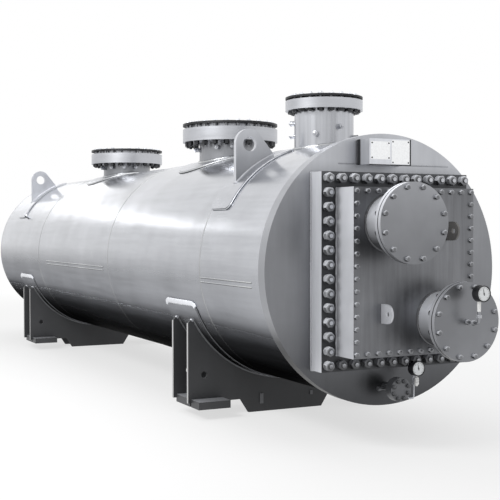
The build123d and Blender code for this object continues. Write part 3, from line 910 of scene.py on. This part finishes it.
# Nozzle necks on the shell and their pads' edges
nozzle_beads = []
for name, sizes in TOP_NOZZLES.items():
    y = centre_of(name).y
    if f"{name}_pad" in nodes:
        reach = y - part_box(f"{name}_pad")[0].y
        pad_edge = nozzle_points(y, reach, shell_radius + nozzle_pad_stand, steps=220)
        nozzle_beads.append(bead("neck_on_pad", nozzle_points(y, sizes["neck"], pad_radius)))
        nozzle_beads.append(bead("nozzle_pad", pad_edge))
    else:
        nozzle_beads.append(bead("neck_on_shell", nozzle_points(y, sizes["neck"], shell_radius)))
new_piece("top_nozzle_welds", *joined(*nozzle_beads), weld_steel, "shell_steel", 60)

# Lifting lugs and their pads, on both sides, by degrees from upright
lug_pad_middle = 39
lug_pad_half = 23
lug_foot_middle = 35.1
lug_foot_half = 12.1
lug_beads = []
for end in ("front", "rear"):
    pad_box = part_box(f"{end}_lug_pads")
    lug_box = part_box(f"{end}_lifting_lugs")
    for side in (-1, 1):
        edge = wrapped_points(
            shell_radius + pad_edge_stand, side * lug_pad_middle, lug_pad_half,
            pad_box[0].y, pad_box[1].y, lug_pad_corner,
        )
        foot = wrapped_points(
            pad_radius, side * lug_foot_middle, lug_foot_half, lug_box[0].y, lug_box[1].y, sharp_corner
        )
        lug_beads += [bead("lug_pad", edge, flat=0.7), bead("lug_foot", foot)]
new_piece("lug_welds", *joined(*lug_beads), pad_weld, "shell_steel", 60)

# Saddles: the wrapper pad's edge, a thick bead along its top, the webs' beads on the pad, and a
# short bright bead on each shoulder of a web as a painted highlight. saddle_web_half and
# top_bead_lap, which is how far the thick bead lies above the pad's edge, are in degrees
saddle_web_half = 62.1
top_bead_lap = 0.5
saddle_web_spacing = 0.318
saddle_web_thickness = 0.025
web_foot_stand = 0.002
glint_inset = 0.042
glint_reach = 0.003
bend_step = math.radians(15)
bend_steps = 4
pad_edges, pad_tops, web_beads, web_glints = [], [], [], []
for end in ("front", "rear"):
    pad_front, pad_back = (corner.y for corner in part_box(f"{end}_saddle_pad"))
    edge = wrapped_points(
        shell_radius + pad_edge_stand, underside, saddle_pad_half, pad_front, pad_back, saddle_pad_corner
    )
    pad_edges.append(bead("saddle_pad", edge))
    middle_y = (pad_front + pad_back) / 2
    flat_half = (pad_back - pad_front) / 2 - saddle_pad_corner
    # The thick bead runs along the top and bends round the start of both corners
    bend = [
        (flat_half + saddle_pad_corner * math.sin(turn), saddle_pad_corner * (1 - math.cos(turn)))
        for turn in (bend_step * step for step in range(1, bend_steps + 1))
    ]
    top_steps = round(2 * flat_half / weld_spacing)
    top = [(flat_half * (2 * step / top_steps - 1), 0) for step in range(top_steps + 1)]
    route = [(-along, drop) for along, drop in reversed(bend)] + top + bend
    for side in (-1, 1):
        points, ways = [], []
        for along, drop in route:
            half_angle = math.radians(saddle_pad_half + top_bead_lap) - drop / shell_radius
            way = outward(math.pi + side * half_angle)
            points.append(Vector((0, middle_y + along, axis_z)) + way * (shell_radius + pad_top_stand))
            ways.append(way)
        pad_tops.append(bead("saddle_pad_top", (points, ways), flat=0.6, closed=False))
    first_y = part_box(f"{end}_saddle_webs")[0].y
    for web_y in (first_y, first_y + saddle_web_spacing):
        back_y = web_y + saddle_web_thickness
        foot = wrapped_points(
            pad_radius + web_foot_stand, underside, saddle_web_half, web_y, back_y, sharp_corner
        )
        web_beads.append(bead("saddle_web", foot))
        for x in (glint_inset - web_high.x, web_high.x - glint_inset):
            ends = [(x, web_y - glint_reach, web_high.z), (x, back_y + glint_reach, web_high.z)]
            web_glints.append(tube(ends, BEAD_RADIUS["web_glint"], 10))
new_piece("saddle_pad_welds", *joined(*pad_edges), low_weld, "shell_steel", 60)
new_piece("saddle_pad_top_welds", *joined(*pad_tops), bright_weld, "shell_steel", 60)
new_piece("saddle_web_glints", *joined(*web_glints), bright_weld, "saddle_steel", 60)
new_piece("saddle_web_welds", *joined(*web_beads), dark_weld, "saddle_steel", 60)

# Frame, header and end plate
frame_half_z = (frame_high.z - frame_low.z) / 2
header_half_z = (header_high.z - header_low.z) / 2
plate_seam_z = 1.980
plate_seam_x = (-0.39, 0.55)
seam_steps = 40
seam = [
    Vector((plate_seam_x[0] + (plate_seam_x[1] - plate_seam_x[0]) * step / seam_steps, plate_y, plate_seam_z))
    for step in range(seam_steps + 1)
]
front_beads = [
    bead("bundle_frame", upright_points(frame_high.x, frame_half_z, plate_y)),
    bead("header_box", upright_points(header_high.x, header_half_z, frame_low.y)),
    bead("plate_seam", (seam, [TO_FRONT] * len(seam)), flat=0.4, closed=False),
]
root_beads = []
for name in ("upper_nozzle", "lower_nozzle"):
    centre = centre_of(name)
    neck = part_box(f"{name}_neck")[1].x - centre.x
    ring_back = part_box(f"{name}_flange")[1].y
    root = ring_points(header_low.y, neck, centre.x, centre.z, steps=120)
    ring = ring_points(ring_back, neck, centre.x, centre.z, steps=120)
    root_beads.append(bead("cover_neck_root", root, ripple=0.15))
    front_beads.append(bead("cover_neck_ring", ring))
new_piece("front_welds", *joined(*front_beads), plate_weld, "header_steel", 60)
new_piece("cover_nozzle_root_welds", *joined(*root_beads), dark_weld, "header_steel", 60)

# Bare plates on the bracket, by their X and Z, with a rivet at each corner
bracket_low, bracket_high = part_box("plate_bracket")
sheet = 0.002
bare_plates = {
    "left_bare_plate": ((-0.218, -0.058), (2.006, 2.130)),
    "right_bare_plate": ((-0.046, 0.105), (1.976, 2.142)),
}
rivet = lathe([(0, 0), (0.006, 0), (0.0055, 0.0015), (0.003, 0.003), (0, 0.0034)], 16)
rivet_inset = 0.011
rivets = []
for name, ((x_low, x_high), (z_low, z_high)) in bare_plates.items():
    low = (x_low, bracket_low.y - sheet, z_low)
    high = (x_high, bracket_low.y, z_high)
    new_piece(name, *block(low, high), plate_white, "bracket")
    for x in (x_low + rivet_inset, x_high - rivet_inset):
        for z in (z_low + rivet_inset, z_high - rivet_inset):
            rivets.append(place(x, bracket_low.y - sheet, z, FRONT))
# Painted shadows: thin dark strips along the bracket's lower and right edges and at its foot on the left,
# where shade falls
shadow_width = 0.008
shadow_thickness = 0.003
foot_shadow_depth = 0.03
shadow_front = bracket_low.y - shadow_thickness
foot_shadow_left = bracket_low.x - shadow_thickness
bracket_shadows = [
    block(
        (bracket_low.x, shadow_front, bracket_low.z - shadow_width), (bracket_high.x, bracket_low.y, bracket_low.z)
    ),
    block(
        (bracket_high.x - shadow_width, shadow_front, bracket_low.z), (bracket_high.x, bracket_low.y, bracket_high.z)
    ),
    block((foot_shadow_left, plate_y - foot_shadow_depth, bracket_low.z), (bracket_low.x, plate_y, bracket_high.z)),
]
new_piece("bracket_painted_shadows", *joined(*bracket_shadows), dark_bolt_steel, "bracket")
new_piece("plate_rivets", *stamped(rivet, rivets), dark_bolt_steel, "bracket")

# Two short tabs on the front keel, by their X and Z. Their near-black finish is painted shade, the shadow
# each tab casts on the web
tab_thickness = 0.008
tab_spans = (((-0.248, -0.215), (0.066, 0.150)), ((0.234, 0.260), (0.108, 0.142)))
tabs = [
    block((x_low, web_low.y - tab_thickness, z_low), (x_high, web_low.y, z_high))
    for (x_low, x_high), (z_low, z_high) in tab_spans
]
new_piece("keel_tabs", *joined(*tabs), dark_weld, "saddle_steel")

# Gauges: case and bezel, white dial with plain ticks, needle. A level is a height above the
# gauge's face
gauge_radius = 0.053
gauge_depth = 0.054
dial_level = 0.003
dial_top = 0.0036
tick_levels = (0.0034, 0.0041)
needle_levels = (0.0042, 0.0054)
hub_top = 0.0062
bezel = lathe(
    [
        (0, -gauge_depth - 0.001), (0.049, -gauge_depth - 0.001), (0.0545, -gauge_depth + 0.004),
        (0.0545, 0.003), (0.0535, 0.007), (0.0495, 0.008), (0.0465, dial_level), (0, dial_level),
    ],
    64,
)
dial = lathe([(0, dial_level), (0.0468, dial_level), (0.0462, dial_top), (0, dial_top)], 64)
tick_count = 25
tick_start = -45
tick_sweep = 270
tick_outer = 0.0425
marks = []
for index in range(tick_count):
    angle = math.radians(tick_start + tick_sweep * index / (tick_count - 1))
    inner, half_width = (0.034, 0.0011) if index % 4 == 0 else (0.038, 0.0006)
    tick = block((inner, -half_width, tick_levels[0]), (tick_outer, half_width, tick_levels[1]))
    marks.append(stamped(tick, [Matrix.Rotation(angle, 4, "Z")]))
needle_turn = Matrix.Rotation(math.radians(102), 4, "Z")
needle_tip = 0.034
needle_tail = 0.012
needle_outline = (
    (-needle_tail, -0.0030), (needle_tip, -0.0008), (needle_tip, 0.0008), (-needle_tail, 0.0030)
)
needle = (
    [needle_turn @ Vector((x, y, level)) for level in needle_levels for x, y in needle_outline],
    [[0, 3, 2, 1], [4, 5, 6, 7], [0, 1, 5, 4], [1, 2, 6, 5], [2, 3, 7, 6], [3, 0, 4, 7]],
)
hub = lathe([(0, dial_top), (0.0055, dial_top), (0.005, hub_top), (0, hub_top)], 20)


def gauge_at(name, x, z):
    """Dresses the gauge of this node, whose face looks to the front."""
    stand = place(x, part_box(name)[0].y, z, FRONT)
    new_piece(f"{name}_case", *stamped(bezel, [stand]), black_case, "gauge")
    new_piece(f"{name}_dial", *stamped(dial, [stand]), dial_white, "gauge")
    new_piece(f"{name}_needle", *stamped(joined(needle, hub, *marks), [stand]), dial_black, "gauge")


lower_centre = centre_of("lower_nozzle")
blind_gauge_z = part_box("blind_gauge")[1].z - gauge_radius
drain_gauge_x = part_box("drain_gauge")[1].x - gauge_radius
drain_gauge_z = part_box("drain_gauge")[1].z - gauge_radius
gauge_at("blind_gauge", lower_centre.x, blind_gauge_z)
gauge_at("drain_gauge", drain_gauge_x, drain_gauge_z)

# The first gauge's white stem, and the hexagon fittings that carry its pipe on the blind
pipe_reach = 0.123
stem_drop = 0.066
second_reach = 0.058
socket_rise = 0.034
blind_pipe_y = lower_centre.y - pipe_reach
stem = lathe([(0, 0), (0.0118, 0), (0.0125, 0.006), (0.0125, 0.058), (0.0118, 0.068), (0, 0.068)], 24)
stem_place = place(lower_centre.x, blind_pipe_y, blind_gauge_z - gauge_radius - stem_drop)
new_piece("blind_gauge_stem", *stamped(stem, [stem_place]), valve_white, "gauge")
fitting_places = [
    place(lower_centre.x, lower_centre.y, lower_centre.z, FRONT),
    place(lower_centre.x, lower_centre.y - second_reach, lower_centre.z, FRONT),
    place(lower_centre.x, blind_pipe_y, lower_centre.z + socket_rise),
]
fitting = hex_body(0.032, 0.022, both=True)
new_piece("blind_gauge_fittings", *stamped(fitting, fitting_places), bolt_steel, "flange_steel")

# The second gauge's white needle valve on its thin tube
valve_drop = 0.062
drain_pipe_y = drain_centre.y + drain_thick / 2
valve_z = drain_gauge_z - gauge_radius - valve_drop
valve_top = lathe([(0, 0), (0.0155, 0), (0.0145, 0.01), (0.0075, 0.018), (0.0075, 0.026), (0, 0.026)], 24)
valve_foot = lathe([(0, 0), (0.008, 0), (0.011, 0.010), (0, 0.010)], 20)
valve_hexagon = hex_body(0.028, 0.018, both=True)
valve = joined(
    valve_hexagon,
    lifted(valve_hexagon, 0.020),
    lifted(valve_top, 0.039),
    lifted(valve_foot, -0.010),
)
valve_place = place(drain_gauge_x, drain_pipe_y, valve_z)
new_piece("drain_gauge_valve", *stamped(valve, [valve_place]), valve_white, "gauge")

# Floor: it fades to white away from the vessel
fade_middle = (0, 2.5, 0)
fade_start = 6.0
fade_end = 14.0
least_fade = 0.65
floor_size = 90.0
floor_mesh = bpy.data.meshes.new("floor")
floor_corners = [(sx * floor_size, sy * floor_size, 0) for sx, sy in ((-1, -1), (1, -1), (1, 1), (-1, 1))]
floor_mesh.from_pydata(floor_corners, [], [(0, 1, 2, 3)])
floor = bpy.data.objects.new("floor", floor_mesh)
bpy.context.scene.collection.objects.link(floor)
floor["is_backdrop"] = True
floor_material = bpy.data.materials.new("floor")
floor_material.use_nodes = True
tree = floor_material.node_tree
tree.nodes.clear()
point = tree_node(tree, "ShaderNodeNewGeometry").outputs["Position"]
away = tree_node(tree, "ShaderNodeVectorMath", {0: point, 1: fade_middle}, operation="DISTANCE")
fade = spread(tree, away.outputs["Value"], least_fade, 1, fade_start, fade_end)
matt = tree_node(tree, "ShaderNodeBsdfDiffuse", {"Color": (0.86, 0.86, 0.86, 1)})
white = tree_node(tree, "ShaderNodeEmission", {"Color": (1, 1, 1, 1), "Strength": 1.0})
blend = tree_node(
    tree, "ShaderNodeMixShader", {0: fade, 1: matt.outputs["BSDF"], 2: white.outputs["Emission"]}
)
tree_node(tree, "ShaderNodeOutputMaterial", {"Surface": blend.outputs["Shader"]})
floor_mesh.materials.append(floor_material)

# World: white where it is seen, by the camera or in metal, and dimmer as a light
sky_light = 0.62
world = bpy.data.worlds.new("studio")
bpy.context.scene.world = world
world.use_nodes = True
tree = world.node_tree
tree.nodes.clear()
rays = tree_node(tree, "ShaderNodeLightPath")
seen = tree_node(
    tree,
    "ShaderNodeMath",
    {0: rays.outputs["Is Camera Ray"], 1: rays.outputs["Is Glossy Ray"]},
    operation="MAXIMUM",
)
seen = tree_node(
    tree, "ShaderNodeMath", {0: seen.outputs[0], 1: rays.outputs["Is Transmission Ray"]}, operation="MAXIMUM"
)
strength = spread(tree, seen.outputs[0], sky_light, 1.0)
sky = tree_node(tree, "ShaderNodeBackground", {"Color": (1, 1, 1, 1), "Strength": strength})
tree_node(tree, "ShaderNodeOutputWorld", {"Surface": sky.outputs["Background"]})


def lamp(name, where, target, power, width, length):
    """Soft rectangular lamp turned to a target."""
    data = bpy.data.lights.new(name, "AREA")
    data.energy = power
    data.shape = "RECTANGLE"
    data.size = width
    data.size_y = length
    made = bpy.data.objects.new(name, data)
    made.location = where
    made.rotation_euler = (Vector(target) - Vector(where)).to_track_quat("-Z", "Y").to_euler()
    bpy.context.scene.collection.objects.link(made)


vessel_middle = (0, 2.8, axis_z)
lamp("key", (-7.0, -1.0, 6.5), vessel_middle, power=420, width=5.0, length=2.0)
lamp("top", (0.5, 3.0, 8.0), vessel_middle, power=300, width=4.0, length=9.0)
lamp("far_strip", (-3.6, 33.0, 10.3), (-1.5, 2.8, axis_z), power=170, width=18.0, length=1.5)

# Camera at the photograph's place: metres from the end plate's middle, and turns in radians
camera_data = bpy.data.cameras.new("camera")
camera_data.lens = 71.925
camera_data.sensor_width = 36.0
camera_data.clip_end = 500
camera = bpy.data.objects.new("camera", camera_data)
camera_side = -4.0071
camera_back = -5.9447
camera_rise = 0.2936
camera_pitch = -0.0214
camera_yaw = -0.4586
camera_roll = -0.0015
camera.location = (camera_side, plate_y + camera_back, axis_z + camera_rise)
camera.rotation_euler = (
    Matrix.Rotation(camera_yaw, 3, "Z")
    @ Matrix.Rotation(math.pi / 2 + camera_pitch, 3, "X")
    @ Matrix.Rotation(camera_roll, 3, "Z")
).to_euler()
bpy.context.scene.collection.objects.link(camera)
bpy.context.scene.camera = camera
bpy.context.scene.view_settings.view_transform = "Standard"

sizes = {"cad": [list(corner) for corner in cad_box], "visual": [list(corner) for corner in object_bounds()]}
